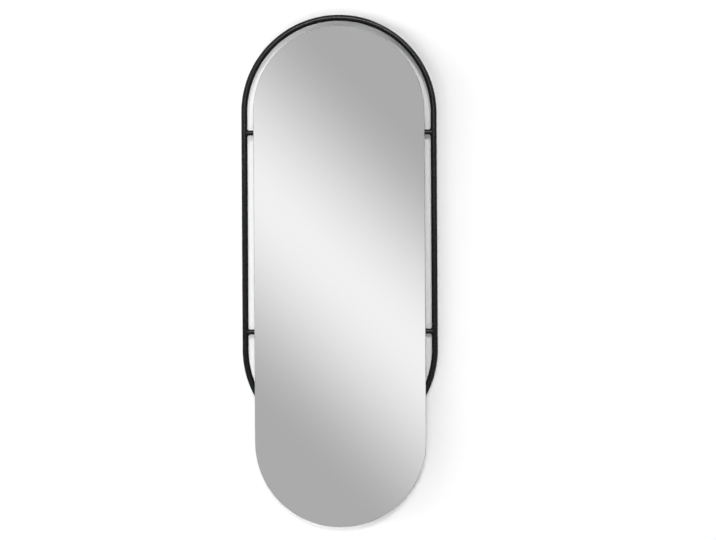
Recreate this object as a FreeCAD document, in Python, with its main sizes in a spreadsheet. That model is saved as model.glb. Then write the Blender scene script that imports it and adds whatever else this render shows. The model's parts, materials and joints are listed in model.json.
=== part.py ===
import FreeCAD, Part
import os

import Sketcher

# A pill-shaped mirror that hangs on a wall, in front of a shorter ring of round tube.
# Two bars cross the ring. The upper one hangs in two wall hooks, the lower one is kept off the wall by
# spacers, and plates on both carry the board that the glass is taped to.
# Millimetres. X runs to the right seen from the front, Y into the wall, Z up. The wall is at Y = 0 and the
# axis of the upper bar is at Z = 0, so the origin lies in the middle of the four wall holes.

SIZES = {
    # Ring of bent tube
    "frame_width": 612,
    "frame_straight": 742,
    "tube_diameter": 19,
    "tube_wall": 1.5,
    "drain_diameter": 4,
    "wall_gap": 24,
    # Bars across the ring, measured from the centres of its arcs
    "bar_diameter": 16,
    "upper_bar_drop": 63,
    "lower_bar_rise": 55,
    "weld_leg": 6,
    # Glass with its safety film
    "edge_gap": 21,
    "glass_straight": 1028,
    "glass_thickness": 5,
    "glass_arris": 1,
    "film_thickness": 0.4,
    "film_inset": 1.5,
    # Board and the foam tape on its front
    "board_inset": 20,
    "board_thickness": 12,
    "board_arris": 1.5,
    "tape_thickness": 1.6,
    "tape_width": 25,
    "tape_margin": 36,
    # Plates between the bars and the board, with their screws
    "plate_length": 56,
    "plate_height": 46,
    "plate_thickness": 8,
    "plate_seat": 0.5,
    "plate_corner": 5,
    "plate_offset": 56,
    "screw_pitch_across": 34,
    "screw_pitch_up": 30,
    "screw_diameter": 4,
    "screw_head_diameter": 8,
    "screw_head_height": 2.8,
    "screw_recess_length": 4.6,
    "screw_recess_width": 1,
    "screw_recess_depth": 1.4,
    "screw_cover": 4,
    "screw_tip_room": 1,
    "plate_hole_clearance": 0.5,
    "pilot_clearance": 0.1,
    # Wall hooks
    "hook_spacing": 180,
    "wall_hole_pitch": 60,
    "wall_hole_diameter": 5.5,
    "wall_hole_edge": 15,
    "wall_plate_width": 40,
    "wall_plate_thickness": 3,
    "wall_plate_corner": 8,
    "fin_thickness": 5,
    "fin_horn": 2.5,
    "fin_rise": 5,
    "fin_root_drop": 8,
    # Spools on the upper bar
    "spool_wall": 1.5,
    "spool_flange_height": 2.5,
    "spool_flange_width": 2,
    "spool_mouth": 12,
    "turning_clearance": 0.05,
    "notch_clearance": 0.25,
    "side_clearance": 0.3,
    # Spacers on the lower bar
    "spacer_wall": 4,
    "spacer_width": 20,
    "spacer_mouth": 12,
    "stem_diameter": 17,
    "foot_diameter": 28,
    "foot_thickness": 3,
    "pad_thickness": 3,
    "pad_arris": 0.8,
    "clip_clearance": 0.05,
}

TAPE_STRIPS = 4
HALF_TURN = 180
FULL_TURN = 360
TOLERANCE = 1e-6

doc = FreeCAD.newDocument("wall_mirror")
sheet = doc.addObject("Spreadsheet::Sheet", "Sizes")
for row, (alias, value) in enumerate(SIZES.items(), start=1):
    sheet.set(f"A{row}", str(value))
    sheet.setAlias(f"A{row}", alias)
doc.recompute()

# Sizes and places that follow from the sheet, as expressions
TUBE_RADIUS = "(Sizes.tube_diameter / 2)"
TUBE_AXIS = f"(Sizes.frame_width / 2 - {TUBE_RADIUS})"
BAR_RADIUS = "(Sizes.bar_diameter / 2)"
BAR_DEPTH = f"(Sizes.wall_gap + {TUBE_RADIUS})"

UPPER_ARC_Z = "Sizes.upper_bar_drop"
LOWER_ARC_Z = "(Sizes.upper_bar_drop - Sizes.frame_straight)"
LOWER_BAR_Z = f"({LOWER_ARC_Z} + Sizes.lower_bar_rise)"

GLASS_RADIUS = f"({TUBE_AXIS} - {TUBE_RADIUS} - Sizes.edge_gap)"
FILM_RADIUS = f"({GLASS_RADIUS} - Sizes.film_inset)"
BOARD_RADIUS = f"({GLASS_RADIUS} - Sizes.board_inset)"

PLATE_BACK = f"({BAR_DEPTH} + {BAR_RADIUS} - Sizes.plate_seat)"
BOARD_BACK = f"({PLATE_BACK} + Sizes.plate_thickness)"
BOARD_FRONT = f"({BOARD_BACK} + Sizes.board_thickness)"
FILM_BACK = f"({BOARD_FRONT} + Sizes.tape_thickness)"
GLASS_BACK = f"({FILM_BACK} + Sizes.film_thickness)"

HOOK_X = "(Sizes.hook_spacing / 2)"
PLATE_X = f"({HOOK_X} + Sizes.plate_offset)"

SPOOL_BORE = f"({BAR_RADIUS} + Sizes.turning_clearance)"
SPOOL_BARREL = f"({SPOOL_BORE} + Sizes.spool_wall)"
SPOOL_FLANGE = f"({SPOOL_BARREL} + Sizes.spool_flange_height)"
SPOOL_WAIST = "(Sizes.fin_thickness / 2 + Sizes.side_clearance)"
SPOOL_END = f"({SPOOL_WAIST} + Sizes.spool_flange_width)"

NOTCH_RADIUS = f"({SPOOL_BARREL} + Sizes.notch_clearance)"
NOSE_RADIUS = f"({NOTCH_RADIUS} + Sizes.fin_horn)"

SPACER_BORE = f"({BAR_RADIUS} + Sizes.clip_clearance)"
SPACER_RADIUS = f"({SPACER_BORE} + Sizes.spacer_wall)"

SIDES = {"left": "(-1)", "right": "1"}
BARS = {"upper": None, "lower": LOWER_BAR_Z}
CORNERS = [(across, up) for across in SIDES.values() for up in SIDES.values()]

parts = []


def number(expression):
    """Value of an expression of the sheet's sizes."""
    return float(sheet.evalExpression(expression))


def minus(expression):
    return f"-({expression})"


# Helpers that draw bound sketches and make features from them

def new_body(label, x=None, y=None, z=None):
    """Body with its place bound to the sheet. Directions left out stay at zero."""
    body = doc.addObject("PartDesign::Body", label)
    body.Label = label
    for direction, expression in (("x", x), ("y", y), ("z", z)):
        if expression is not None:
            body.setExpression(f"Placement.Base.{direction}", expression)
    parts.append(body)
    return body


def new_sketch(body, name, role, offset=None):
    """Sketch on one of the body's own origin planes, or at an offset along its normal."""
    sketch = body.newObject("Sketcher::SketchObject", f"{body.Name}_{name}")
    sketch.AttachmentSupport = (origin_item(body, role), [""])
    sketch.MapMode = "FlatFace"
    if offset is not None:
        sketch.setExpression("AttachmentOffset.Base.z", offset)
    return sketch


def bind(sketch, kind, arguments, expression):
    """Dimension whose value comes from the sheet."""
    index = sketch.addConstraint(Sketcher.Constraint(kind, *arguments, number(expression)))
    sketch.setExpression(f"Constraints[{index}]", expression)


def pin_point(sketch, geometry, point, x, y):
    """Holds a point at a place in the sketch. A direction left out puts the point on that axis."""
    horizontal_axis, vertical_axis = -1, -2
    for kind, axis, expression in (("DistanceX", vertical_axis, x), ("DistanceY", horizontal_axis, y)):
        if expression is None:
            sketch.addConstraint(Sketcher.Constraint("PointOnObject", geometry, point, axis))
        else:
            bind(sketch, kind, (-1, 1, geometry, point), expression)


def origin_item(body, role):
    """One of the body's own origin planes or axes."""
    return next(item for item in body.Origin.OriginFeatures if item.Role == role)


def rectangle(half_width, half_height):
    """Corners of a rectangle about the sketch's origin."""
    left = minus(half_width)
    bottom = minus(half_height)
    return [(left, bottom), (half_width, bottom), (half_width, half_height), (left, half_height)]


def place_of(x, y):
    """Start position of a point that pin_point holds."""
    return FreeCAD.Vector(number(x) if x else 0, number(y) if y else 0, 0)


def draw_polygon(sketch, corners):
    """Closed outline through corners given as pairs of expressions."""
    points = [place_of(x, y) for x, y in corners]
    count = len(points)
    for index in range(count):
        sketch.addGeometry(Part.LineSegment(points[index], points[(index + 1) % count]))
    for index, (x, y) in enumerate(corners):
        sketch.addConstraint(Sketcher.Constraint("Coincident", (index - 1) % count, 2, index, 1))
        pin_point(sketch, index, 1, x, y)


def draw_circles(sketch, circles):
    """Circles given as centre x, centre y and radius."""
    for x, y, radius in circles:
        circle = Part.Circle(place_of(x, y), FreeCAD.Vector(0, 0, 1), number(radius))
        index = sketch.addGeometry(circle)
        pin_point(sketch, index, 3, x, y)
        bind(sketch, "Radius", (index,), radius)


def draw_pill(sketch, radius, straight):
    """Upright pill, with the centre of its upper arc at the sketch's origin."""
    size = number(radius)
    drop = number(straight)
    upper_left = FreeCAD.Vector(-size, 0, 0)
    upper_right = FreeCAD.Vector(size, 0, 0)
    lower_left = FreeCAD.Vector(-size, -drop, 0)
    lower_right = FreeCAD.Vector(size, -drop, 0)
    crown = FreeCAD.Vector(0, size, 0)
    base = FreeCAD.Vector(0, -drop - size, 0)
    sketch.addGeometry(Part.Arc(upper_right, crown, upper_left))
    sketch.addGeometry(Part.LineSegment(upper_left, lower_left))
    sketch.addGeometry(Part.Arc(lower_left, base, lower_right))
    sketch.addGeometry(Part.LineSegment(lower_right, upper_right))
    upper_arc, left_line, lower_arc, right_line = range(4)
    for first, second in ((upper_arc, left_line), (left_line, lower_arc),
                          (lower_arc, right_line), (right_line, upper_arc)):
        sketch.addConstraint(Sketcher.Constraint("Tangent", first, 2, second, 1))
    sketch.addConstraint(Sketcher.Constraint("Coincident", upper_arc, 3, -1, 1))
    sketch.addConstraint(Sketcher.Constraint("PointOnObject", lower_arc, 3, -2))
    bind(sketch, "Radius", (upper_arc,), radius)
    bind(sketch, "DistanceY", (lower_arc, 3, upper_arc, 3), straight)


def pad(body, sketch, length, symmetric=False):
    feature = body.newObject("PartDesign::Pad", f"{sketch.Name}_pad")
    feature.Profile = sketch
    feature.SideType = "Symmetric" if symmetric else "One side"
    feature.setExpression("Length", length)
    return feature


def pocket(body, sketch, length=None, symmetric=False, reverse=False):
    """Cut from the sketch against its normal, or along it when reversed. No length cuts right through."""
    before = volume_of(body)
    feature = body.newObject("PartDesign::Pocket", f"{sketch.Name}_pocket")
    feature.Profile = sketch
    feature.SideType = "Symmetric" if symmetric else "One side"
    feature.Reversed = reverse
    if length is None:
        feature.Type = "ThroughAll"
    else:
        feature.setExpression("Length", length)
    if volume_of(body) >= before:
        raise RuntimeError(f"{feature.Name} cuts nothing")
    return feature


def revolve(body, sketch, axis, angle=FULL_TURN):
    feature = body.newObject("PartDesign::Revolution", f"{sketch.Name}_turned")
    feature.Profile = sketch
    feature.ReferenceAxis = (sketch, [axis])
    feature.Angle = angle
    return feature


def volume_of(body):
    doc.recompute()
    return body.Shape.Volume


def edges_where(body, wanted):
    """Names of the edges of the body so far that pass a test."""
    doc.recompute()
    return [f"Edge{index}" for index, edge in enumerate(body.Shape.Edges, start=1) if wanted(edge)]


def chamfer(body, size, wanted):
    names = edges_where(body, wanted)
    feature = body.newObject("PartDesign::Chamfer", f"{body.Name}_arris")
    feature.Base = (feature.BaseFeature, names)
    feature.setExpression("Size", size)
    return feature


def fillet(body, radius, wanted):
    names = edges_where(body, wanted)
    feature = body.newObject("PartDesign::Fillet", f"{body.Name}_round")
    feature.Base = (feature.BaseFeature, names)
    feature.setExpression("Radius", radius)
    return feature


def runs_along(axis):
    """Test for straight edges that run along one axis of the model."""
    def test(edge):
        if edge.Curve.TypeId != "Part::GeomLine":
            return False
        return abs(abs(edge.Curve.Direction.dot(axis)) - 1) < TOLERANCE
    return test


def lies_flat(edge):
    """Test for edges that lie in a plane parallel to the wall."""
    return edge.BoundBox.YLength < TOLERANCE


ALONG_X = FreeCAD.Vector(1, 0, 0)
ALONG_Y = FreeCAD.Vector(0, 1, 0)


# Ring of bent tube

def draw_tube_section(sketch, sides):
    """Wall of the tube, cut across, at one or both sides of the ring."""
    bore = f"{TUBE_RADIUS} - Sizes.tube_wall"
    for side in sides:
        across = f"{side} * {TUBE_AXIS}"
        draw_circles(sketch, [(across, None, TUBE_RADIUS), (across, None, bore)])


def make_frame_tube():
    body = new_body("frame_tube", y=minus(BAR_DEPTH), z=UPPER_ARC_Z)
    upper_arc = new_sketch(body, "upper_arc", "XY_Plane")
    draw_tube_section(upper_arc, [SIDES["left"]])
    revolve(body, upper_arc, "V_Axis", HALF_TURN)
    uprights = new_sketch(body, "uprights", "XY_Plane", offset=minus("Sizes.frame_straight"))
    draw_tube_section(uprights, SIDES.values())
    pad(body, uprights, "Sizes.frame_straight")
    lower_arc = new_sketch(body, "lower_arc", "XY_Plane", offset=minus("Sizes.frame_straight"))
    draw_tube_section(lower_arc, [SIDES["right"]])
    revolve(body, lower_arc, "V_Axis", HALF_TURN)
    lowest_axis = f"Sizes.frame_straight + {TUBE_AXIS}"
    drain = new_sketch(body, "drain", "XY_Plane", offset=minus(lowest_axis))
    draw_circles(drain, [(None, None, "Sizes.drain_diameter / 2")])
    pocket(body, drain, "Sizes.tube_diameter")


# Bars across the ring, coped to the tube and with their welds

def make_crossbar(name, height):
    body = new_body(f"{name}_crossbar", y=minus(BAR_DEPTH), z=height)
    round_bar = new_sketch(body, "section", "YZ_Plane")
    draw_circles(round_bar, [(None, None, BAR_RADIUS)])
    pad(body, round_bar, f"2 * {TUBE_AXIS}", symmetric=True)
    tubes = new_sketch(body, "tubes", "XY_Plane")
    draw_circles(tubes, [(f"{side} * {TUBE_AXIS}", None, TUBE_RADIUS) for side in SIDES.values()])
    pad(body, tubes, "2 * (Sizes.bar_diameter + 2 * Sizes.weld_leg)", symmetric=True)

    def where_bar_meets_tube(edge):
        return edge.Curve.TypeId not in ("Part::GeomLine", "Part::GeomCircle")

    fillet(body, "Sizes.weld_leg", where_bar_meets_tube)
    cope = new_sketch(body, "cope", "XY_Plane")
    draw_circles(cope, [(f"{side} * {TUBE_AXIS}", None, TUBE_RADIUS) for side in SIDES.values()])
    pocket(body, cope, symmetric=True)


# Pill-shaped layers: glass, film and board

def make_layer(label, radius, thickness, back, arris=None):
    body = new_body(label, y=minus(back), z=UPPER_ARC_Z)
    outline = new_sketch(body, "outline", "XZ_Plane")
    draw_pill(outline, radius, "Sizes.glass_straight")
    pad(body, outline, thickness)
    if arris is not None:
        chamfer(body, arris, lies_flat)
    return body


def screw_places(origin_x, origin_z):
    """Centres of a plate's four screws, seen from a given point."""
    places = []
    for across, up in CORNERS:
        x = f"{origin_x} + {across} * Sizes.screw_pitch_across / 2"
        z = f"{origin_z} + {up} * Sizes.screw_pitch_up / 2"
        places.append((x, z))
    return places


def make_backing_board():
    body = make_layer("backing_board", BOARD_RADIUS, "Sizes.board_thickness", BOARD_BACK, "Sizes.board_arris")
    pilots = new_sketch(body, "pilots", "XZ_Plane")
    radius = "(Sizes.screw_diameter + Sizes.pilot_clearance) / 2"
    for side in SIDES.values():
        for height in BARS.values():
            below_arc = f"{height or 0} - {UPPER_ARC_Z}"
            places = screw_places(f"{side} * {PLATE_X}", below_arc)
            draw_circles(pilots, [(x, z, radius) for x, z in places])
    depth = "Sizes.board_thickness - Sizes.screw_cover + Sizes.screw_tip_room"
    pocket(body, pilots, depth, reverse=True)


def make_foam_tape():
    body = new_body("foam_tape", y=minus(BOARD_FRONT), z=UPPER_ARC_Z)
    body.AllowCompound = True
    strip = new_sketch(body, "strip", "XZ_Plane")
    first_edge = f"({BOARD_RADIUS} - Sizes.tape_margin)"
    draw_polygon(strip, [
        (minus(first_edge), None),
        (f"Sizes.tape_width - {first_edge}", None),
        (f"Sizes.tape_width - {first_edge}", minus("Sizes.glass_straight")),
        (minus(first_edge), minus("Sizes.glass_straight")),
    ])
    first = pad(body, strip, "Sizes.tape_thickness")
    doc.recompute()
    row = body.newObject("PartDesign::LinearPattern", "foam_tape_row")
    row.Originals = [first]
    row.Direction = (strip, ["H_Axis"])
    row.setExpression("Length", f"2 * {first_edge} - Sizes.tape_width")
    row.Occurrences = TAPE_STRIPS
    body.Tip = row


# Plates on the fronts of the bars, and their screws

def make_board_plate(bar, side):
    across = f"{SIDES[side]} * {PLATE_X}"
    body = new_body(f"board_plate_{bar}_{side}", x=across, y=minus(PLATE_BACK), z=BARS[bar])
    outline = new_sketch(body, "outline", "XZ_Plane")
    draw_polygon(outline, rectangle("Sizes.plate_length / 2", "Sizes.plate_height / 2"))
    pad(body, outline, "Sizes.plate_thickness")
    fillet(body, "Sizes.plate_corner", runs_along(ALONG_Y))
    seat = new_sketch(body, "seat", "YZ_Plane")
    draw_circles(seat, [(f"{BAR_RADIUS} - Sizes.plate_seat", None, BAR_RADIUS)])
    pocket(body, seat, symmetric=True)
    holes = new_sketch(body, "holes", "XZ_Plane")
    radius = "(Sizes.screw_diameter + Sizes.plate_hole_clearance) / 2"
    draw_circles(holes, [(x, z, radius) for x, z in screw_places("0", "0")])
    pocket(body, holes, reverse=True)


def cross_outline(x, y, length, width):
    """Corners of a plus sign about a point."""
    arm = f"{length} / 2"
    half = f"{width} / 2"
    steps = [
        (f"+ {arm}", f"- {half}"), (f"+ {arm}", f"+ {half}"), (f"+ {half}", f"+ {half}"),
        (f"+ {half}", f"+ {arm}"), (f"- {half}", f"+ {arm}"), (f"- {half}", f"+ {half}"),
        (f"- {arm}", f"+ {half}"), (f"- {arm}", f"- {half}"), (f"- {half}", f"- {half}"),
        (f"- {half}", f"- {arm}"), (f"+ {half}", f"- {arm}"), (f"+ {half}", f"- {half}"),
    ]
    return [(f"{x} {across}", f"{y} {up}") for across, up in steps]


def make_plate_screws():
    """One turned screw with a crossed head, repeated over a plate, both sides and both bars."""
    body = new_body("plate_screws", y=minus(PLATE_BACK))
    body.AllowCompound = True
    axis_x = f"({PLATE_X} - Sizes.screw_pitch_across / 2)"
    axis_z = "(Sizes.screw_pitch_up / 2)"
    shank = f"({axis_x} + Sizes.screw_diameter / 2)"
    head = f"({axis_x} + Sizes.screw_head_diameter / 2)"
    crown = f"({axis_x} + Sizes.screw_recess_length / 2)"
    tip = "(Sizes.plate_thickness + Sizes.board_thickness - Sizes.screw_cover)"
    half = new_sketch(body, "half", "XY_Plane", offset=axis_z)
    draw_polygon(half, [
        (axis_x, minus(tip)),
        (shank, f"Sizes.screw_diameter / 2 - {tip}"),
        (shank, None),
        (head, None),
        (head, "Sizes.screw_head_height / 2"),
        (crown, "Sizes.screw_head_height"),
        (axis_x, "Sizes.screw_head_height"),
    ])
    revolve(body, half, "Edge7")
    recess = new_sketch(body, "recess", "XZ_Plane", offset=minus("Sizes.screw_head_height"))
    cross = cross_outline(axis_x, axis_z, "Sizes.screw_recess_length", "Sizes.screw_recess_width")
    draw_polygon(recess, cross)
    pocket(body, recess, "Sizes.screw_recess_depth", reverse=True)

    over_plate = body.newObject("PartDesign::LinearPattern", "screws_over_plate")
    over_plate.TransformMode = "Whole shape"
    over_plate.Direction = (origin_item(body, "X_Axis"), [""])
    over_plate.setExpression("Length", "Sizes.screw_pitch_across")
    over_plate.Occurrences = 2
    over_plate.Direction2 = (origin_item(body, "Z_Axis"), [""])
    over_plate.setExpression("Length2", "Sizes.screw_pitch_up")
    over_plate.Occurrences2 = 2
    over_plate.Reversed2 = True
    body.Tip = over_plate
    doc.recompute()

    over_sides = body.newObject("PartDesign::Mirrored", "screws_over_sides")
    over_sides.TransformMode = "Whole shape"
    over_sides.MirrorPlane = (origin_item(body, "YZ_Plane"), [""])
    body.Tip = over_sides
    doc.recompute()

    over_bars = body.newObject("PartDesign::LinearPattern", "screws_over_bars")
    over_bars.TransformMode = "Whole shape"
    over_bars.Direction = (origin_item(body, "Z_Axis"), [""])
    over_bars.Reversed = True
    over_bars.setExpression("Length", minus(LOWER_BAR_Z))
    over_bars.Occurrences = len(BARS)
    body.Tip = over_bars


# Wall hooks: a plate on the wall and an upright fin with a notch

def make_wall_plate(side):
    body = new_body(f"wall_plate_{side}", x=f"{SIDES[side]} * {HOOK_X}")
    outline = new_sketch(body, "outline", "XZ_Plane")
    half_height = "(Sizes.wall_hole_pitch / 2 + Sizes.wall_hole_edge)"
    draw_polygon(outline, rectangle("Sizes.wall_plate_width / 2", half_height))
    pad(body, outline, "Sizes.wall_plate_thickness")
    fillet(body, "Sizes.wall_plate_corner", runs_along(ALONG_Y))
    holes = new_sketch(body, "holes", "XZ_Plane")
    radius = "Sizes.wall_hole_diameter / 2"
    draw_circles(holes, [(None, f"{up} * Sizes.wall_hole_pitch / 2", radius) for up in ("(-1)", "1")])
    pocket(body, holes, reverse=True)


def make_hook_fin(side):
    body = new_body(f"hook_fin_{side}", x=f"{SIDES[side]} * {HOOK_X}")
    root = minus("Sizes.wall_plate_thickness")
    nose = minus(f"{BAR_DEPTH} + {NOSE_RADIUS}")
    outline = new_sketch(body, "outline", "YZ_Plane")
    draw_polygon(outline, [
        (root, "Sizes.fin_rise"),
        (nose, "Sizes.fin_rise"),
        (nose, minus(NOSE_RADIUS)),
        (root, minus(f"{NOSE_RADIUS} + Sizes.fin_root_drop")),
    ])
    pad(body, outline, "Sizes.fin_thickness", symmetric=True)
    bar_front = -number(BAR_DEPTH)

    def under_the_nose(edge):
        return runs_along(ALONG_X)(edge) and edge.BoundBox.YMax < bar_front and edge.BoundBox.ZMax < 0

    fillet(body, NOSE_RADIUS, under_the_nose)
    seat = new_sketch(body, "seat", "YZ_Plane")
    draw_circles(seat, [(minus(BAR_DEPTH), None, NOTCH_RADIUS)])
    pocket(body, seat, symmetric=True)
    mouth = new_sketch(body, "mouth", "YZ_Plane")
    near = f"{NOTCH_RADIUS} - {BAR_DEPTH}"
    far = minus(f"{NOTCH_RADIUS} + {BAR_DEPTH}")
    draw_polygon(mouth, [(near, None), (near, "Sizes.fin_rise"), (far, "Sizes.fin_rise"), (far, None)])
    pocket(body, mouth, symmetric=True)


# Spools that are clipped over the upper bar and sit in the notches

def make_bar_spool(side):
    body = new_body(f"bar_spool_{side}", x=f"{SIDES[side]} * {HOOK_X}", y=minus(BAR_DEPTH))
    half = new_sketch(body, "half", "XZ_Plane")
    draw_polygon(half, [
        (minus(SPOOL_END), SPOOL_BORE),
        (SPOOL_END, SPOOL_BORE),
        (SPOOL_END, SPOOL_FLANGE),
        (SPOOL_WAIST, SPOOL_FLANGE),
        (SPOOL_WAIST, SPOOL_BARREL),
        (minus(SPOOL_WAIST), SPOOL_BARREL),
        (minus(SPOOL_WAIST), SPOOL_FLANGE),
        (minus(SPOOL_END), SPOOL_FLANGE),
    ])
    revolve(body, half, "H_Axis")
    mouth = new_sketch(body, "mouth", "XY_Plane")
    past_ends = f"({SPOOL_END} + Sizes.spool_flange_width)"
    draw_polygon(mouth, rectangle(past_ends, "Sizes.spool_mouth / 2"))
    pocket(body, mouth, reverse=True)


# Spacers that are clipped over the lower bar, with rubber pads against the wall

def make_wall_spacer(side):
    body = new_body(f"wall_spacer_{side}", x=f"{SIDES[side]} * {HOOK_X}", y=minus(BAR_DEPTH), z=LOWER_BAR_Z)
    foot_end = f"({BAR_DEPTH} - Sizes.pad_thickness)"
    foot_start = f"({foot_end} - Sizes.foot_thickness)"
    half = new_sketch(body, "half", "XY_Plane")
    draw_polygon(half, [
        (None, None),
        ("Sizes.stem_diameter / 2", None),
        ("Sizes.stem_diameter / 2", foot_start),
        ("Sizes.foot_diameter / 2", foot_start),
        ("Sizes.foot_diameter / 2", foot_end),
        (None, foot_end),
    ])
    revolve(body, half, "V_Axis")
    ring = new_sketch(body, "ring", "YZ_Plane")
    draw_circles(ring, [(None, None, SPACER_RADIUS)])
    pad(body, ring, "Sizes.spacer_width", symmetric=True)
    bore = new_sketch(body, "bore", "YZ_Plane")
    draw_circles(bore, [(None, None, SPACER_BORE)])
    pocket(body, bore, symmetric=True)
    mouth = new_sketch(body, "mouth", "YZ_Plane")
    past_ring = minus(f"{SPACER_RADIUS} + Sizes.spacer_wall")
    draw_polygon(mouth, [
        (None, minus("Sizes.spacer_mouth / 2")),
        (None, "Sizes.spacer_mouth / 2"),
        (past_ring, "Sizes.spacer_mouth / 2"),
        (past_ring, minus("Sizes.spacer_mouth / 2")),
    ])
    pocket(body, mouth, symmetric=True)


def make_spacer_pad(side):
    body = new_body(f"spacer_pad_{side}", x=f"{SIDES[side]} * {HOOK_X}", z=LOWER_BAR_Z)
    disc = new_sketch(body, "disc", "XZ_Plane")
    draw_circles(disc, [(None, None, "Sizes.foot_diameter / 2")])
    pad(body, disc, "Sizes.pad_thickness")

    def against_the_wall(edge):
        return lies_flat(edge) and edge.BoundBox.YMax > -TOLERANCE

    chamfer(body, "Sizes.pad_arris", against_the_wall)


make_frame_tube()
for bar_name, bar_height in BARS.items():
    make_crossbar(bar_name, bar_height)
make_layer("mirror_glass", GLASS_RADIUS, "Sizes.glass_thickness", GLASS_BACK, "Sizes.glass_arris")
make_layer("safety_film", FILM_RADIUS, "Sizes.film_thickness", FILM_BACK)
make_foam_tape()
make_backing_board()
for bar_name in BARS:
    for side_name in SIDES:
        make_board_plate(bar_name, side_name)
make_plate_screws()
for side_name in SIDES:
    make_wall_plate(side_name)
    make_hook_fin(side_name)
    make_bar_spool(side_name)
    make_wall_spacer(side_name)
    make_spacer_pad(side_name)

# Every object has to be sound before anything is written
doc.recompute()
for item in doc.Objects:
    if {"Invalid", "Error"} & set(item.State):
        raise RuntimeError(f"{item.Name} failed: {item.State}")
for part in parts:
    if part.Shape.isNull() or not part.Shape.isValid():
        raise RuntimeError(f"{part.Label} has no valid shape")

os.makedirs("parts", exist_ok=True)
for part in parts:
    part.Shape.exportStep(f"parts/{part.Label}.step")
    box = part.Shape.optimalBoundingBox()
    size = f"{box.XLength:.2f} x {box.YLength:.2f} x {box.ZLength:.2f}"
    print(f"{part.Label}: {len(part.Shape.Solids)} solids, {size} mm, {part.Shape.Volume / 1000:.2f} cm3")
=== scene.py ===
import json
import math

import bmesh
import bpy
from mathutils import Matrix, Vector

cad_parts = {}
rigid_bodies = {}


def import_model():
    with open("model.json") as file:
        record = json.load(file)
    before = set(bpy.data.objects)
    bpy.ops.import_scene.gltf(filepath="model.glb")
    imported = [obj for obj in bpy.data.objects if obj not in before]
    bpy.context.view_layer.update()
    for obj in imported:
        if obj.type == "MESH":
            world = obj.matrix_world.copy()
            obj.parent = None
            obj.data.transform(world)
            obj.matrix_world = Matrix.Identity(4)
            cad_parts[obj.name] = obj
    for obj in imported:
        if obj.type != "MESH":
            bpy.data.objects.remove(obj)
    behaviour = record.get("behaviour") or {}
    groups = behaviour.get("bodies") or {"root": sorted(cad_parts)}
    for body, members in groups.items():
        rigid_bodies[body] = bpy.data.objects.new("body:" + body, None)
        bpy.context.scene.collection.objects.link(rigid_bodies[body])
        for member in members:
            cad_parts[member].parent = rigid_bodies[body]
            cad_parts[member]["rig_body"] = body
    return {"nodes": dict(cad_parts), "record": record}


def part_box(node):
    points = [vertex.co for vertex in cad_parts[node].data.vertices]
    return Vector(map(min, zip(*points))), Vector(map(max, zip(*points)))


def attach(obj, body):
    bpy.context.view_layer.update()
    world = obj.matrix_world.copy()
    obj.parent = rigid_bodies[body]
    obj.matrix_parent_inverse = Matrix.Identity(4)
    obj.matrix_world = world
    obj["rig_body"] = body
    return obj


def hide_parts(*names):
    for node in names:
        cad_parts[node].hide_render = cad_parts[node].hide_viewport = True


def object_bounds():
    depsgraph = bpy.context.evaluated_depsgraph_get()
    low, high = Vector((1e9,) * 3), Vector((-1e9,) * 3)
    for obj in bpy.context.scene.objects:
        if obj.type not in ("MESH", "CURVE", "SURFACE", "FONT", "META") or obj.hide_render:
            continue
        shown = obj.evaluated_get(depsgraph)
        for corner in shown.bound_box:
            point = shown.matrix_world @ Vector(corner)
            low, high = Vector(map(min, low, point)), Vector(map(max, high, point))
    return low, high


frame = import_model()
cad_low, cad_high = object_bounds()

MM = 0.001
HALF_TURN = math.pi
FULL_TURN = 2 * math.pi
SIDES = ("left", "right")

# Camera and picture
PICTURE_WIDTH = 716
FOCAL_PIXELS = 1276
SENSOR_WIDTH = 36.0
CAMERA_PLACE = (0.057, -4.0335, -0.4315)
CAMERA_PITCH = math.radians(90)
CAMERA_ROLL = math.radians(0.33)

# Round and smooth shapes
ARC_STEPS = 180
STRAIGHT_STEPS = 40
TUBE_SIDES = 48
HOLE_SIDES = 32
PAD_SIDES = 72
BEAD_SIDES = 16
BEVEL_SEGMENTS = 3
ROUND_PROFILE = 0.5
QUAD_CORNERS = 4
SHARP_ANGLE = math.radians(32)
FLAT_ANGLE = math.radians(0.5)
MERGE_DISTANCE = 0.002 * MM

# Detail of the noise patterns, and the size of gloss lumps in grains
FINE_DETAIL = 2.0
PLAIN_DETAIL = 3.0
BROAD_DETAIL = 4.0
CLOUD_DETAIL = 5.0
GLOSS_LUMP = 6


# Node helpers

def start_material(name):
    """A new node material, its tree and its shader."""
    material = bpy.data.materials.new(name)
    material.use_nodes = True
    tree = material.node_tree
    return material, tree, tree.nodes["Principled BSDF"]


def add_node(tree, kind, settings=None, values=None):
    """A node with its settings and its unlinked inputs."""
    made = tree.nodes.new(kind)
    for key, value in (settings or {}).items():
        setattr(made, key, value)
    for key, value in (values or {}).items():
        made.inputs[key].default_value = value
    return made


def place_in_metres(tree, stretch=(1, 1, 1)):
    """The point on the piece, in metres, stretched for a grain that runs one way."""
    place = add_node(tree, "ShaderNodeTexCoord")
    mapping = add_node(tree, "ShaderNodeMapping", values={"Scale": stretch})
    tree.links.new(place.outputs["Object"], mapping.inputs["Vector"])
    return mapping.outputs["Vector"]


def noise(tree, place, size, detail):
    """Noise whose lumps are about size metres across."""
    made = add_node(tree, "ShaderNodeTexNoise", values={"Scale": 1 / size, "Detail": detail})
    tree.links.new(place, made.inputs["Vector"])
    return made.outputs["Fac"]


def cells(tree, place, size):
    """Distance to the nearest cell centre, for pores and moulded grain."""
    made = add_node(tree, "ShaderNodeTexVoronoi", values={"Scale": 1 / size})
    tree.links.new(place, made.inputs["Vector"])
    return made.outputs["Distance"]


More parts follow.
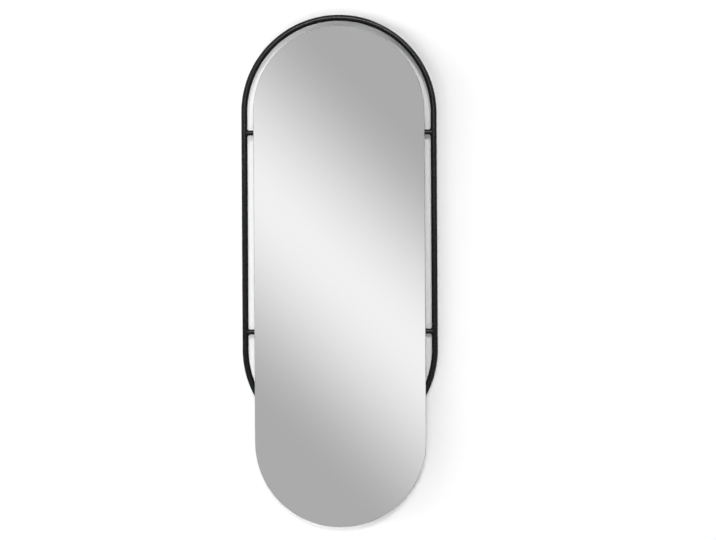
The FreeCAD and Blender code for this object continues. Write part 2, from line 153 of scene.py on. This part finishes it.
def spread(tree, source, low, high, start=0.3, end=0.7):
    """Turns a value between start and end, where most of a noise lies, into one from low to high."""
    values = {"From Min": start, "From Max": end, "To Min": low, "To Max": high}
    made = add_node(tree, "ShaderNodeMapRange", values=values)
    tree.links.new(source, made.inputs["Value"])
    return made.outputs["Result"]


def two_colours(tree, share, first, second):
    """A colour from first to second by share."""
    made = add_node(tree, "ShaderNodeMix", {"data_type": "RGBA"})
    tree.links.new(share, made.inputs["Factor"])
    made.inputs["A"].default_value = (*first, 1)
    made.inputs["B"].default_value = (*second, 1)
    return made.outputs["Result"]


def calculate(tree, operation, first, second=0.0):
    """A Math node of two values, each a number or an output."""
    made = add_node(tree, "ShaderNodeMath", {"operation": operation})
    for slot, value in zip(made.inputs, (first, second)):
        if isinstance(value, (int, float)):
            slot.default_value = value
        else:
            tree.links.new(value, slot)
    return made.outputs["Value"]


def rough_surface(tree, shader, height, strength, depth):
    """Bump from a height, depth metres deep."""
    made = add_node(tree, "ShaderNodeBump", values={"Strength": strength, "Distance": depth})
    tree.links.new(height, made.inputs["Height"])
    tree.links.new(made.outputs["Normal"], shader.inputs["Normal"])


def grained_material(name, first, second, rough, mottle, grain, depth, strength=0.5, metallic=0.0,
                     specular=0.5, stretch=(1, 1, 1), pores=False):
    """A finish with mottled colour, uneven gloss and a fine grain; mottle, grain and depth are in metres."""
    material, tree, shader = start_material(name)
    place = place_in_metres(tree)
    along = place_in_metres(tree, stretch)
    share = spread(tree, noise(tree, place, mottle, BROAD_DETAIL), 0, 1)
    gloss = spread(tree, noise(tree, along, grain * GLOSS_LUMP, BROAD_DETAIL), *rough)
    height = cells(tree, along, grain) if pores else noise(tree, along, grain, FINE_DETAIL)
    tree.links.new(two_colours(tree, share, first, second), shader.inputs["Base Color"])
    tree.links.new(gloss, shader.inputs["Roughness"])
    shader.inputs["Metallic"].default_value = metallic
    shader.inputs["Specular IOR Level"].default_value = specular
    rough_surface(tree, shader, height, strength, depth)
    return material


# Finishes

powder_coat = grained_material(
    "black_powder_coat", (0.0025, 0.0025, 0.0026), (0.005, 0.005, 0.0052), (0.22, 0.32),
    mottle=30 * MM, grain=0.7 * MM, depth=0.12 * MM, strength=0.35, specular=0.3,
)
zinc = grained_material(
    "zinc_plate", (0.57, 0.575, 0.58), (0.66, 0.655, 0.63), (0.28, 0.4),
    mottle=3.5 * MM, grain=0.25 * MM, depth=0.02 * MM, metallic=1.0, stretch=(1, 1, 0.12),
)
nylon = grained_material(
    "moulded_nylon", (0.026, 0.026, 0.027), (0.042, 0.042, 0.044), (0.42, 0.58),
    mottle=12 * MM, grain=0.5 * MM, depth=0.05 * MM, pores=True,
)
rubber = grained_material(
    "pad_rubber", (0.045, 0.045, 0.045), (0.085, 0.084, 0.082), (0.78, 0.95),
    mottle=6 * MM, grain=0.35 * MM, depth=0.08 * MM,
)
foam = grained_material(
    "foam_tape", (0.7, 0.7, 0.67), (0.8, 0.8, 0.77), (0.85, 0.95),
    mottle=10 * MM, grain=0.5 * MM, depth=0.15 * MM, pores=True,
)
back_paint = grained_material(
    "mirror_back_paint", (0.2, 0.22, 0.22), (0.27, 0.29, 0.29), (0.4, 0.55),
    mottle=15 * MM, grain=0.9 * MM, depth=0.05 * MM,
)
polished_edge = grained_material(
    "polished_glass_edge", (0.24, 0.28, 0.265), (0.3, 0.345, 0.325), (0.18, 0.28),
    mottle=90 * MM, grain=0.5 * MM, depth=0.01 * MM, strength=0.2, specular=0.12, stretch=(0.03, 1, 0.03),
)


def woven_film():
    """Grey film with a plain weave of threads."""
    thread = 1.4 * MM
    dark_thread = (0.33, 0.35, 0.36)
    light_thread = (0.47, 0.49, 0.5)
    gloss_lump = 8 * MM
    rough = (0.45, 0.65)
    weave_strength = 0.4
    weave_depth = 0.08 * MM
    material, tree, shader = start_material("woven_safety_film")
    place = place_in_metres(tree)
    split = add_node(tree, "ShaderNodeSeparateXYZ")
    tree.links.new(place, split.inputs["Vector"])
    waves = []
    for axis in ("X", "Z"):
        turn = calculate(tree, "MULTIPLY", split.outputs[axis], FULL_TURN / thread)
        waves.append(calculate(tree, "SINE", turn))
    height = calculate(tree, "MULTIPLY", waves[0], waves[1])
    share = spread(tree, height, 0, 1, -1, 1)
    shade = two_colours(tree, share, dark_thread, light_thread)
    tree.links.new(shade, shader.inputs["Base Color"])
    gloss = spread(tree, noise(tree, place, gloss_lump, PLAIN_DETAIL), *rough)
    tree.links.new(gloss, shader.inputs["Roughness"])
    rough_surface(tree, shader, height, weave_strength, weave_depth)
    return material


def reach_from_spine(tree, place, top, bottom):
    """Distance of a point from the middle line of a pill, between its arc centres."""
    split = add_node(tree, "ShaderNodeSeparateXYZ")
    tree.links.new(place, split.inputs["Vector"])
    low = calculate(tree, "MAXIMUM", split.outputs["Z"], bottom)
    nearest = calculate(tree, "MINIMUM", low, top)
    rise = calculate(tree, "SUBTRACT", split.outputs["Z"], nearest)
    across = calculate(tree, "POWER", calculate(tree, "ABSOLUTE", split.outputs["X"]), 2.0)
    upward = calculate(tree, "POWER", calculate(tree, "ABSOLUTE", rise), 2.0)
    return calculate(tree, "SQRT", calculate(tree, "ADD", across, upward))


def lacquered_board(radius, top, bottom):
    """Black roller lacquer on fibreboard, worn to brown here and there along the edge."""
    cloud_size = 120 * MM
    dark_black = (0.031, 0.0305, 0.03)
    light_black = (0.038, 0.037, 0.036)
    bare_board = (0.16, 0.11, 0.07)
    wear_start = radius - 2 * MM
    wear_end = radius - 0.4 * MM
    patch_size = 6 * MM
    patch_range = (0.5, 0.62)
    roller_stretch = (1, 1, 0.25)
    roller_lump = 5 * MM
    rough = (0.4, 0.62)
    stipple_size = 1.1 * MM
    stipple_strength = 0.5
    stipple_depth = 0.12 * MM
    material, tree, shader = start_material("black_board_lacquer")
    place = place_in_metres(tree)
    along = place_in_metres(tree, roller_stretch)
    cloud = spread(tree, noise(tree, place, cloud_size, CLOUD_DETAIL), 0, 1)
    black = two_colours(tree, cloud, dark_black, light_black)
    reach = reach_from_spine(tree, place, top, bottom)
    rim = spread(tree, reach, 0, 1, wear_start, wear_end)
    patches = spread(tree, noise(tree, place, patch_size, BROAD_DETAIL), 0, 1, *patch_range)
    wear = calculate(tree, "MULTIPLY", rim, patches)
    shade = add_node(tree, "ShaderNodeMix", {"data_type": "RGBA"})
    shade.inputs["B"].default_value = (*bare_board, 1)
    tree.links.new(wear, shade.inputs["Factor"])
    tree.links.new(black, shade.inputs["A"])
    tree.links.new(shade.outputs["Result"], shader.inputs["Base Color"])
    gloss = spread(tree, noise(tree, along, roller_lump, BROAD_DETAIL), *rough)
    tree.links.new(gloss, shader.inputs["Roughness"])
    stipple = noise(tree, along, stipple_size, PLAIN_DETAIL)
    rough_surface(tree, shader, stipple, stipple_strength, stipple_depth)
    return material


def silver(radius, top, bottom):
    """Silvered glass: a mirror with faint smudges and a thin green cast along its edge."""
    plain_silver = (0.93, 0.93, 0.93)
    green_cast = (0.76, 0.81, 0.79)
    cast_width = 2.5 * MM
    smudge_size = 90 * MM
    smudge_range = (0.45, 0.8)
    rough = (0.0, 0.03)
    material, tree, shader = start_material("mirror_silver")
    place = place_in_metres(tree)
    reach = reach_from_spine(tree, place, top, bottom)
    share = spread(tree, reach, 0, 1, radius - cast_width, radius)
    shade = two_colours(tree, share, plain_silver, green_cast)
    tree.links.new(shade, shader.inputs["Base Color"])
    gloss = spread(tree, noise(tree, place, smudge_size, CLOUD_DETAIL), *rough, *smudge_range)
    tree.links.new(gloss, shader.inputs["Roughness"])
    shader.inputs["Metallic"].default_value = 1.0
    return material


# Mesh helpers

def turns_round(sides):
    """Angles of points that are spaced evenly round a circle."""
    return [FULL_TURN * side / sides for side in range(sides)]


def half_circle(start):
    """Angles along half a circle from start, with both its ends."""
    return [start + HALF_TURN * step / ARC_STEPS for step in range(ARC_STEPS + 1)]


def skin_mesh(name, loops, wrap=False):
    """An outward-facing mesh through closed loops of equal length, capped at its ends unless it wraps."""
    count = len(loops[0])
    points = [point for loop in loops for point in loop]
    faces = []
    for row in range(len(loops) if wrap else len(loops) - 1):
        here = row * count
        ahead = (row + 1) % len(loops) * count
        for step in range(count):
            beside = (step + 1) % count
            faces.append((here + step, here + beside, ahead + beside, ahead + step))
    if not wrap:
        last = (len(loops) - 1) * count
        faces.append(tuple(range(count)))
        faces.append(tuple(range(last, last + count)))
    mesh = bpy.data.meshes.new(name)
    mesh.from_pydata(points, [], faces)
    work = bmesh.new()
    work.from_mesh(mesh)
    bmesh.ops.recalc_face_normals(work, faces=work.faces)
    work.to_mesh(mesh)
    work.free()
    return mesh


def merge_slivers(mesh):
    """Closes up faces that are too thin to have a direction."""
    work = bmesh.new()
    work.from_mesh(mesh)
    bmesh.ops.remove_doubles(work, verts=work.verts, dist=MERGE_DISTANCE)
    bmesh.ops.dissolve_degenerate(work, dist=MERGE_DISTANCE, edges=work.edges)
    work.to_mesh(mesh)
    work.free()


def add_piece(name, mesh, materials, node):
    """A smooth-shaded piece that rides on the same body as a CAD node."""
    mesh.materials.clear()
    for material in materials:
        mesh.materials.append(material)
    mesh.shade_smooth()
    mesh.set_sharp_from_angle(angle=SHARP_ANGLE)
    piece = bpy.data.objects.new(name, mesh)
    bpy.context.scene.collection.objects.link(piece)
    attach(piece, frame["nodes"][node]["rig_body"])
    return piece


def replace_node(name, mesh, materials, node):
    """A piece that stands for a CAD node."""
    piece = add_piece(name, mesh, materials, node)
    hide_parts(node)
    return piece


def soften(node, width, material):
    """A copy of a CAD node with its sharp edges rounded, which stands for it."""
    name = node + "_finished"
    work = bmesh.new()
    work.from_mesh(frame["nodes"][node].data)
    bmesh.ops.remove_doubles(work, verts=work.verts, dist=MERGE_DISTANCE)
    bmesh.ops.dissolve_limit(work, angle_limit=FLAT_ANGLE, verts=work.verts, edges=work.edges)
    sharp = [edge for edge in work.edges if edge.calc_face_angle(0.0) > SHARP_ANGLE]
    bmesh.ops.bevel(work, geom=sharp, offset=width, offset_type="OFFSET", segments=BEVEL_SEGMENTS,
                    profile=ROUND_PROFILE, affect="EDGES", clamp_overlap=True)
    mesh = bpy.data.meshes.new(name)
    work.to_mesh(mesh)
    work.free()
    replace_node(name, mesh, [material], node)


# Glass, film and board; the profile of their edges is in arris widths, inwards and along the depth

GLASS_ARRIS = 1 * MM
FILM_ARRIS = 0.08 * MM
BOARD_ARRIS = 1.5 * MM
ARRIS_PROFILE = ((1.25, 0.0), (0.8, 0.12), (0.12, 0.8), (0.0, 1.25))


def pill_of(node):
    """Radius and arc centre heights of a pill-shaped node, from its box."""
    low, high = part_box(node)
    radius = (high.x - low.x) / 2
    return radius, high.z - radius, low.z + radius


def pill_loop(radius, top, bottom, depth):
    """Points round a pill outline at one depth, right end of the upper arc first."""
    loop = []
    for centre, start in ((top, 0.0), (bottom, HALF_TURN)):
        for angle in half_circle(start):
            loop.append((radius * math.cos(angle), depth, centre + radius * math.sin(angle)))
    return loop


def pill_sheet(name, node, arris, materials):
    """A flat pill with softened edges; of three materials, the front has the first and the back the last."""
    radius, top, bottom = pill_of(node)
    low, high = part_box(node)
    sections = [(arris * inset, low.y + arris * step) for inset, step in ARRIS_PROFILE]
    sections += [(arris * inset, high.y - arris * step) for inset, step in reversed(ARRIS_PROFILE)]
    loops = [pill_loop(radius - inset, top, bottom, depth) for inset, depth in sections]
    piece = replace_node(name, skin_mesh(name, loops), materials, node)
    last = len(materials) - 1
    for face in piece.data.polygons:
        if len(face.vertices) > QUAD_CORNERS:
            face.use_smooth = False
            face.material_index = 0 if face.normal.y < 0 else last
        else:
            face.material_index = min(1, last)


mirror_silver = silver(*pill_of("mirror_glass"))
glass_finishes = [mirror_silver, polished_edge, back_paint]
pill_sheet("mirror_glass_polished", "mirror_glass", GLASS_ARRIS, glass_finishes)
weave = woven_film()
pill_sheet("safety_film_woven", "safety_film", FILM_ARRIS, [weave])
lacquer = lacquered_board(*pill_of("backing_board"))
pill_sheet("backing_board_lacquered", "backing_board", BOARD_ARRIS, [lacquer])

# Ring of bent tube

SEAM_ANGLE = math.radians(252)
SEAM_HALF_WIDTH = 4 * MM
SEAM_HEIGHT = 0.15 * MM
DRAIN_RADIUS = 2 * MM
DRAIN_REACH = 3 * MM
tube_low, tube_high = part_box("frame_tube")
tube_radius = (tube_high.y - tube_low.y) / 2
tube_depth = (tube_high.y + tube_low.y) / 2
ring_radius = (tube_high.x - tube_low.x) / 2 - tube_radius
ring_top = tube_high.z - tube_radius - ring_radius
ring_bottom = tube_low.z + tube_radius + ring_radius


def ring_stations():
    """Centre and outward direction at places along the ring, once round."""
    stations = []
    runs = ((ring_top, ring_bottom, 0.0, -1), (ring_bottom, ring_top, HALF_TURN, 1))
    for centre, next_centre, start, side in runs:
        for angle in half_circle(start):
            outward = Vector((math.cos(angle), 0, math.sin(angle)))
            stations.append((Vector((0, tube_depth, centre)) + outward * ring_radius, outward))
        for step in range(1, STRAIGHT_STEPS):
            height = centre + (next_centre - centre) * step / STRAIGHT_STEPS
            stations.append((Vector((side * ring_radius, tube_depth, height)), Vector((side, 0, 0))))
    return stations


def ring_tube():
    """The ring, with a ground butt weld where the tube's ends meet, near its lowest point."""
    seam = Vector((math.cos(SEAM_ANGLE), 0, math.sin(SEAM_ANGLE))) * ring_radius
    seam += Vector((0, tube_depth, ring_bottom))
    toward_front = Vector((0, -1, 0))
    loops = []
    for centre, outward in ring_stations():
        share = max(0.0, 1 - (centre - seam).length / SEAM_HALF_WIDTH)
        radius = tube_radius + SEAM_HEIGHT * share
        loop = []
        for turn in turns_round(TUBE_SIDES):
            loop.append(centre + radius * (math.cos(turn) * outward + math.sin(turn) * toward_front))
        loops.append(loop)
    mesh = skin_mesh("frame_tube_coated", loops, wrap=True)
    return replace_node("frame_tube_coated", mesh, [powder_coat], "frame_tube")


def drill_from_below(piece, place, radius, reach):
    """Cuts a round hole up into a piece, reach to each side of a point."""
    loops = []
    for height in (place.z - reach, place.z + reach):
        loop = []
        for turn in turns_round(HOLE_SIDES):
            loop.append((place.x + radius * math.cos(turn), place.y + radius * math.sin(turn), height))
        loops.append(loop)
    drill = bpy.data.objects.new("drill", skin_mesh("drill", loops))
    bpy.context.scene.collection.objects.link(drill)
    cut = piece.modifiers.new("hole", "BOOLEAN")
    cut.object = drill
    cut.solver = "EXACT"
    shapes = bpy.context.evaluated_depsgraph_get()
    drilled = bpy.data.meshes.new_from_object(piece.evaluated_get(shapes))
    piece.modifiers.remove(cut)
    piece.data = drilled
    bpy.data.objects.remove(drill)
    merge_slivers(drilled)


ring = ring_tube()
drain_place = Vector((0, tube_depth, ring_bottom - ring_radius - tube_radius))
drill_from_below(ring, drain_place, DRAIN_RADIUS, DRAIN_REACH)

# Small hardware, with its edges rounded as deburring, plating and moulding leave them

SCREW_EDGE = 0.12 * MM
SOFTENED_PAIRS = (
    ("wall_plate", 0.5 * MM, zinc, "zinc"),
    ("hook_fin", 0.4 * MM, zinc, "zinc"),
    ("board_plate_upper", 0.8 * MM, powder_coat, "black_steel"),
    ("board_plate_lower", 0.8 * MM, powder_coat, "black_steel"),
    ("bar_spool", 0.35 * MM, nylon, "nylon"),
    ("wall_spacer", 0.5 * MM, nylon, "nylon"),
)
for pair_name, edge_width, finish, slot_name in SOFTENED_PAIRS:
    for side_name in SIDES:
        soften(f"{pair_name}_{side_name}", edge_width, finish)
soften("plate_screws", SCREW_EDGE, zinc)

# Rubber pads with rings of grip on the side that meets the wall; a rib takes up its share of the pitch

PAD_GRIP = 0.5 * MM
PAD_ARRIS = 0.8 * MM
PAD_FRONT_ARRIS = 0.3 * MM
PAD_RIBS = 3
RIB_SHARE = 0.5


def gripping_pad(node):
    """A round pad, turned about its middle, with grooves between raised rings."""
    name = node + "_ribbed"
    low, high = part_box(node)
    middle = (low + high) / 2
    radius = (high.x - low.x) / 2
    groove = high.y - PAD_GRIP
    rows = [(radius - PAD_FRONT_ARRIS, low.y), (radius, low.y + PAD_FRONT_ARRIS)]
    rows.append((radius, high.y - PAD_ARRIS))
    outer = radius - PAD_ARRIS
    pitch = outer / (PAD_RIBS + RIB_SHARE)
    for _ in range(PAD_RIBS):
        inner = outer - RIB_SHARE * pitch
        rows += [(outer, high.y), (inner, high.y), (inner - PAD_GRIP, groove)]
        outer -= pitch
        rows.append((outer + PAD_GRIP, groove))
    loops = []
    for reach, depth in rows:
        loop = []
        for turn in turns_round(PAD_SIDES):
            loop.append((middle.x + reach * math.cos(turn), depth, middle.z + reach * math.sin(turn)))
        loops.append(loop)
    replace_node(name, skin_mesh(name, loops), [rubber], node)


for side_name in SIDES:
    gripping_pad("spacer_pad_" + side_name)

# Weld beads of the board plates on the bars, and of the hook fins on the wall plates
BEAD_RADIUS = 2 * MM
BEAD_PITCH = 1.9 * MM
BEAD_STEP = 0.25 * MM
BAR_RADIUS = 8 * MM
PLATE_BEAD_INSET = 5 * MM

# In bead radii
BEAD_SINK = 0.35
BEAD_RIPPLE = 0.07
BEAD_LAG = 0.5
BEAD_END = 1.5
BEAD_TIP = 0.06
FIN_BEAD_INSET = 0.6


def weld_bead(name, start, end, outward, material, node):
    """A rippled bead from start to end that bulges outward, sunk into the two pieces that it joins."""
    length = (end - start).length
    along = (end - start).normalized()
    bulge = (outward - along * outward.dot(along)).normalized()
    beside = along.cross(bulge)
    count = round(length / BEAD_STEP)
    loops = []
    for step in range(count + 1):
        place = length * step / count
        from_end = max(0.0, min(place, length - place))
        blunt = max(0.0, 1 - from_end / (BEAD_END * BEAD_RADIUS))
        swell = max(BEAD_TIP, math.sqrt(1 - blunt ** 2))
        loop = []
        for turn in turns_round(BEAD_SIDES):
            lag = BEAD_RADIUS * BEAD_LAG * (1 - math.cos(turn))
            wave = math.cos(FULL_TURN * (place + lag) / BEAD_PITCH)
            radius = BEAD_RADIUS * swell * (1 + BEAD_RIPPLE * wave)
            loop.append(start + along * place + radius * (math.cos(turn) * bulge + math.sin(turn) * beside))
        loops.append(loop)
    add_piece(name, skin_mesh(name, loops), [material], node)


def weld_plate_to_bar(plate, bar):
    """A bead above and one below the bar, across a board plate."""
    low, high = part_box(plate)
    bar_low, bar_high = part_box(bar)
    axis = (bar_low + bar_high) / 2
    depth = high.y + BEAD_SINK * BEAD_RADIUS
    rise = math.sqrt((BAR_RADIUS + BEAD_SINK * BEAD_RADIUS) ** 2 - (depth - axis.y) ** 2)
    for label, side in (("above", 1), ("below", -1)):
        start = Vector((low.x + PLATE_BEAD_INSET, depth, axis.z + side * rise))
        end = Vector((high.x - PLATE_BEAD_INSET, depth, axis.z + side * rise))
        outward = Vector((0, 1, side))
        weld_bead(f"weld_{plate}_{label}", start, end, outward, powder_coat, plate)


def weld_fin_to_plate(fin):
    """A bead on each side of a hook fin, where it stands on its wall plate."""
    low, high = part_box(fin)
    depth = high.y - BEAD_SINK * BEAD_RADIUS
    for label, side, face in (("inner", -1, low.x), ("outer", 1, high.x)):
        across = face + side * BEAD_SINK * BEAD_RADIUS
        start = Vector((across, depth, low.z + FIN_BEAD_INSET * BEAD_RADIUS))
        end = Vector((across, depth, high.z - FIN_BEAD_INSET * BEAD_RADIUS))
        outward = Vector((side, -1, 0))
        weld_bead(f"weld_{fin}_{label}", start, end, outward, zinc, fin)


for side_name in SIDES:
    weld_fin_to_plate("hook_fin_" + side_name)
    for level in ("upper", "lower"):
        weld_plate_to_bar(f"board_plate_{level}_{side_name}", f"{level}_crossbar")

# Finishes of the CAD nodes, of which the bars and the tape keep their solids

FINISH_OF_SLOT = {
    "mirror": mirror_silver,
    "black_steel": powder_coat,
    "board": lacquer,
    "film": weave,
    "foam": foam,
    "zinc": zinc,
    "nylon": nylon,
    "pad_rubber": rubber,
}
for subpart in frame["record"]["subparts"]:
    node_mesh = frame["nodes"][subpart["node"]].data
    node_mesh.materials.clear()
    node_mesh.materials.append(FINISH_OF_SLOT[subpart["material_slot"]])

# Wall and floor

WALL_WIDTH = 12.0
WALL_HEIGHT = 6.0
WALL_SHADE = 1.0
WALL_GLOW = 0.0
FLOOR_SIZE = 60.0
FLOOR_DROP = 0.3
FLOOR_SHADE = 0.8
FLOOR_GLOW = 0.3
FAR_GLOW = 1.0
GLOW_START = 2.0
GLOW_END = 5.0
floor_height = cad_low.z - FLOOR_DROP


def stage_paint(name, shade, glow, one_sided):
    """Pale paint that keeps soft shadows and glows to the camera, whiter far away.

    One-sided paint is clear from behind.
    """
    material, tree, shader = start_material(name)
    tree.nodes.remove(shader)
    output = tree.nodes["Material Output"]
    paint = add_node(tree, "ShaderNodeBsdfDiffuse", values={"Color": (shade, shade, shade, 1)})
    path = add_node(tree, "ShaderNodeLightPath")
    light = add_node(tree, "ShaderNodeEmission")
    away = add_node(tree, "ShaderNodeVectorMath", {"operation": "LENGTH"})
    tree.links.new(place_in_metres(tree), away.inputs[0])
    local_glow = spread(tree, away.outputs["Value"], glow, FAR_GLOW, GLOW_START, GLOW_END)
    strength = calculate(tree, "MULTIPLY", path.outputs["Is Camera Ray"], local_glow)
    tree.links.new(strength, light.inputs["Strength"])
    front = add_node(tree, "ShaderNodeAddShader")
    tree.links.new(paint.outputs["BSDF"], front.inputs[0])
    tree.links.new(light.outputs["Emission"], front.inputs[1])
    shown = front.outputs["Shader"]
    if one_sided:
        side = add_node(tree, "ShaderNodeNewGeometry")
        clear = add_node(tree, "ShaderNodeBsdfTransparent")
        either = add_node(tree, "ShaderNodeMixShader")
        tree.links.new(side.outputs["Backfacing"], either.inputs["Fac"])
        tree.links.new(shown, either.inputs[1])
        tree.links.new(clear.outputs["BSDF"], either.inputs[2])
        shown = either.outputs["Shader"]
    tree.links.new(shown, output.inputs["Surface"])
    return material


def make_stage(name, corners, material):
    """A flat stage piece that the mirror doesn't show."""
    mesh = bpy.data.meshes.new(name)
    mesh.from_pydata(corners, [], [(0, 1, 2, 3)])
    mesh.materials.append(material)
    plane = bpy.data.objects.new(name, mesh)
    plane.visible_glossy = False
    bpy.context.scene.collection.objects.link(plane)
    return plane


# The wall takes shadows, but it throws no light on the object and doesn't stop the lamp behind it
wall_top = floor_height + WALL_HEIGHT
wall_side = WALL_WIDTH / 2
wall = make_stage(
    "wall",
    [(-wall_side, 0, floor_height), (wall_side, 0, floor_height),
     (wall_side, 0, wall_top), (-wall_side, 0, wall_top)],
    stage_paint("wall_paint", WALL_SHADE, WALL_GLOW, one_sided=True),
)
wall.visible_diffuse = False
wall.visible_transmission = False
wall.visible_shadow = False

floor_side = FLOOR_SIZE / 2
make_stage(
    "floor",
    [(-floor_side, -floor_side, floor_height), (floor_side, -floor_side, floor_height),
     (floor_side, floor_side, floor_height), (-floor_side, floor_side, floor_height)],
    stage_paint("floor_paint", FLOOR_SHADE, FLOOR_GLOW, one_sided=False),
)

# World: white to the camera, a soft band of studio light to gloss, even fill for the rest

WHITE = (1, 1, 1, 1)
WHITE_STRENGTH = 1.0
BAND_ACROSS = (0.7, 0.0, 0.714)
BAND_PLACE = -0.0121
BAND_HALF_WIDTH = 0.1214
BAND_HALF_SPACING = 0.25
BAND_DARK = 0.437
BAND_BRIGHT = 0.943
FILL_STRENGTH = 0.06
BACK_SHARE = 0.5
BACK_START = -0.1
BACK_END = 0.4


def studio_world():
    """The studio's surroundings."""
    world = bpy.data.worlds.new("studio")
    world.use_nodes = True
    bpy.context.scene.world = world
    tree = world.node_tree
    white = tree.nodes["Background"]
    white.inputs["Color"].default_value = WHITE
    white.inputs["Strength"].default_value = WHITE_STRENGTH
    fill = add_node(tree, "ShaderNodeBackground", values={"Color": WHITE, "Strength": FILL_STRENGTH})
    band = add_node(tree, "ShaderNodeBackground", values={"Color": WHITE})
    direction = add_node(tree, "ShaderNodeTexCoord")
    across = add_node(tree, "ShaderNodeVectorMath", {"operation": "DOT_PRODUCT"})
    across.inputs[1].default_value = BAND_ACROSS
    tree.links.new(direction.outputs["Generated"], across.inputs[0])
    offset = calculate(tree, "SUBTRACT", across.outputs["Value"], BAND_PLACE)
    distance = calculate(tree, "PINGPONG", offset, BAND_HALF_SPACING)
    values = {"From Min": 0.0, "From Max": BAND_HALF_WIDTH, "To Min": BAND_BRIGHT, "To Max": BAND_DARK}
    fade = add_node(tree, "ShaderNodeMapRange", {"interpolation_type": "SMOOTHSTEP"}, values)
    tree.links.new(distance, fade.inputs["Value"])
    split = add_node(tree, "ShaderNodeSeparateXYZ")
    tree.links.new(direction.outputs["Generated"], split.inputs["Vector"])
    depth_share = spread(tree, split.outputs["Y"], 1.0, BACK_SHARE, BACK_START, BACK_END)
    strength = calculate(tree, "MULTIPLY", fade.outputs["Result"], depth_share)
    tree.links.new(strength, band.inputs["Strength"])
    path = add_node(tree, "ShaderNodeLightPath")
    inner = add_node(tree, "ShaderNodeMixShader")
    outer = add_node(tree, "ShaderNodeMixShader")
    tree.links.new(path.outputs["Is Glossy Ray"], inner.inputs["Fac"])
    tree.links.new(fill.outputs["Background"], inner.inputs[1])
    tree.links.new(band.outputs["Background"], inner.inputs[2])
    seen = calculate(tree, "MAXIMUM", path.outputs["Is Camera Ray"], path.outputs["Is Transmission Ray"])
    tree.links.new(seen, outer.inputs["Fac"])
    tree.links.new(inner.outputs["Shader"], outer.inputs[1])
    tree.links.new(white.outputs["Background"], outer.inputs[2])
    tree.links.new(outer.outputs["Shader"], tree.nodes["World Output"].inputs["Surface"])


studio_world()

# Lamps: panels in front, at the left and by the floor, and a soft sun behind

FRONT_MIDDLE = Vector((0.0, -12.0, 3.9))
FRONT_SIZE = (3.1, 2.4)
FRONT_POWER = 605
LOW_MIDDLE = Vector((0.0, -12.0, 0.6))
LOW_SIZE = (3.1, 3.4)
LOW_POWER = 57
LEFT_MIDDLE = Vector((-9.0, -3.9, 0.7))
LEFT_SIZE = (8.5, 3.4)
LEFT_POWER = 356
SIDE_MIDDLE = Vector((-9.0, -2.2, 0.7))
SIDE_SIZE = (3.0, 3.4)
SIDE_POWER = 497
BOUNCE_MIDDLE = Vector((0.0, -2.0, -1.35))
BOUNCE_SIZE = (4.0, 0.3)
BOUNCE_POWER = 11.6
BACK_SOURCE = (0.7, 1.0, 0.8)
BACK_STRENGTH = 2.4
BACK_SOFTNESS = 40


def link_lamp(name, lamp, turn, place):
    """Puts a lamp in the scene."""
    holder = bpy.data.objects.new(name, lamp)
    holder.matrix_world = Matrix.Translation(place) @ turn.to_4x4()
    bpy.context.scene.collection.objects.link(holder)
    return holder


def add_panel(name, middle, size, power):
    """A flat panel of light that faces the object; size is its width and height."""
    lamp = bpy.data.lights.new(name, "AREA")
    lamp.shape = "RECTANGLE"
    lamp.size, lamp.size_y = size
    lamp.energy = power
    away = middle - (cad_low + cad_high) / 2
    return link_lamp(name, lamp, away.to_track_quat("Z", "Y").to_matrix(), middle)


def add_sun(name, source, strength, softness):
    """A soft light from far away, from the direction source; softness is its width in degrees."""
    lamp = bpy.data.lights.new(name, "SUN")
    lamp.energy = strength
    lamp.angle = math.radians(softness)
    turn = Vector(source).to_track_quat("Z", "Y").to_matrix()
    link_lamp(name, lamp, turn, Vector(source))


add_panel("front_panel", FRONT_MIDDLE, FRONT_SIZE, FRONT_POWER)
low_panel = add_panel("low_panel", LOW_MIDDLE, LOW_SIZE, LOW_POWER)
left_panel = add_panel("left_panel", LEFT_MIDDLE, LEFT_SIZE, LEFT_POWER)
side_panel = add_panel("side_panel", SIDE_MIDDLE, SIDE_SIZE, SIDE_POWER)
bounce_panel = add_panel("bounce_panel", BOUNCE_MIDDLE, BOUNCE_SIZE, BOUNCE_POWER)
bounce_panel.visible_camera = False

# Of the panels, gloss shows only the front one
for panel in (low_panel, left_panel, side_panel, bounce_panel):
    panel.visible_glossy = False
add_sun("back_lamp", BACK_SOURCE, BACK_STRENGTH, BACK_SOFTNESS)

# Camera

camera_data = bpy.data.cameras.new("camera")
camera_data.sensor_width = SENSOR_WIDTH
camera_data.lens = SENSOR_WIDTH * FOCAL_PIXELS / PICTURE_WIDTH
camera = bpy.data.objects.new("camera", camera_data)
camera.location = CAMERA_PLACE
camera.rotation_euler = (CAMERA_PITCH, CAMERA_ROLL, 0)
bpy.context.scene.collection.objects.link(camera)
bpy.context.scene.camera = camera
bpy.context.scene.view_settings.view_transform = "Standard"
